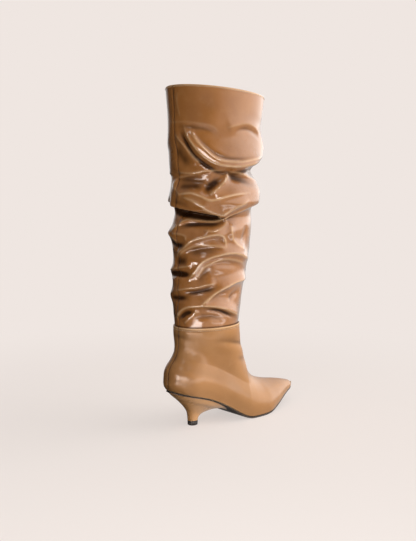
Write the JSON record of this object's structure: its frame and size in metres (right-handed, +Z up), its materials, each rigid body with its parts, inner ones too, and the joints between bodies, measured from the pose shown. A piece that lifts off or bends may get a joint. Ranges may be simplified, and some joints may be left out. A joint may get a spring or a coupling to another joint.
{
  "type": "slouch boot",
  "caption": "Pull-on knee boot with a pointed toe, low wrapped heel and a loose shaft that slouches in soft folds above a lapped ankle seam.",
  "frame": {"origin": "on the floor, at the centre of the heel tip's foot", "axes": "+Z up, +Y towards the toe, +X towards the wearer's right, which is the boot's outer side"},
  "size_m": [0.1243, 0.2671, 0.496],
  "materials": {
    "foot_leather": "smooth tan patent-look leather with a satin gloss",
    "shaft_leather": "very glossy tan crinkled patent-look leather",
    "sole": "thin dark brown sole, slightly satin",
    "heel_leather": "tan leather wrapped round the heel block, satin gloss",
    "top_piece": "dark hard rubber",
    "sock": "pale tan leather sock"
  },
  "bodies": {
    "root": {"upper": "foot_leather", "shaft": "shaft_leather", "outsole": "sole", "heel": "heel_leather", "heel_tip": "top_piece", "insole": "sock"}
  },
  "joints": []
}
